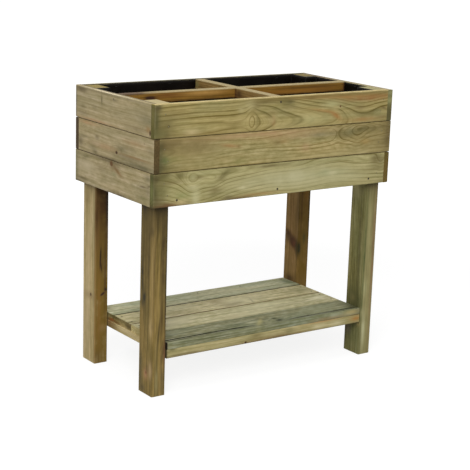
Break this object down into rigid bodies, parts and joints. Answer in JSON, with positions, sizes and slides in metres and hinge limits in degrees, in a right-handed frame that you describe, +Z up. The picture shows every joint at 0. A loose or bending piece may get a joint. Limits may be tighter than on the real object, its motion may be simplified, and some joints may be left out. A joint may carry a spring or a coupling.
{
  "type": "raised garden bed",
  "caption": "Waist-high wooden planter box on legs, with lapped board sides, a black liner, crossing bars at the rim that mark off planting compartments, and a slatted shelf between the legs.",
  "frame": {"origin": "centre of the footprint, on the ground that the feet stand on", "axes": "+X along the box towards the right end as seen from the front, +Y from the front to the back, +Z up"},
  "size_m": [0.804, 0.42, 0.8],
  "materials": {
    "wall_boards": "planed softwood, pressure treated, with a green tint, matte",
    "leg_timber": "planed softwood, pressure treated, olive brown, matte",
    "rim_bars": "planed softwood, pressure treated, matte",
    "floor_timber": "planed softwood, pressure treated, matte",
    "liner_sheet": "black polythene sheet with a dull sheen",
    "shelf_boards": "planed softwood, pressure treated, grey green to tan, matte",
    "shelf_battens": "planed softwood, pressure treated, matte",
    "galvanised_steel": "dull galvanised steel"
  },
  "bodies": {
    "root": {"wall_front_low": "wall_boards", "wall_front_mid": "wall_boards", "wall_front_top": "wall_boards", "wall_back_low": "wall_boards", "wall_back_mid": "wall_boards", "wall_back_top": "wall_boards", "wall_left_low": "wall_boards", "wall_left_mid": "wall_boards", "wall_left_top": "wall_boards", "wall_right_low": "wall_boards", "wall_right_mid": "wall_boards", "wall_right_top": "wall_boards", "leg_front_left": "leg_timber", "leg_front_right": "leg_timber", "leg_back_left": "leg_timber", "leg_back_right": "leg_timber", "rim_bar_long": "rim_bars", "rim_bar_cross": "rim_bars", "floor_bearer_left": "floor_timber", "floor_bearer_middle": "floor_timber", "floor_bearer_right": "floor_timber", "floor_board_front": "floor_timber", "floor_board_mid_front": "floor_timber", "floor_board_mid_back": "floor_timber", "floor_board_back": "floor_timber", "liner": "liner_sheet", "shelf_board_front": "shelf_boards", "shelf_board_mid_front": "shelf_boards", "shelf_board_mid_back": "shelf_boards", "shelf_board_back": "shelf_boards", "shelf_rail_front": "shelf_battens", "shelf_rail_back": "shelf_battens", "shelf_cleat_left": "shelf_battens", "shelf_cleat_right": "shelf_battens", "wall_nails_front": "galvanised_steel", "wall_nails_back": "galvanised_steel", "wall_nails_left": "galvanised_steel", "wall_nails_right": "galvanised_steel", "rim_bar_nails": "galvanised_steel", "bearer_nails": "galvanised_steel", "floor_nails": "galvanised_steel", "shelf_nails": "galvanised_steel", "shelf_screws": "galvanised_steel", "liner_staples": "galvanised_steel"}
  },
  "joints": []
}
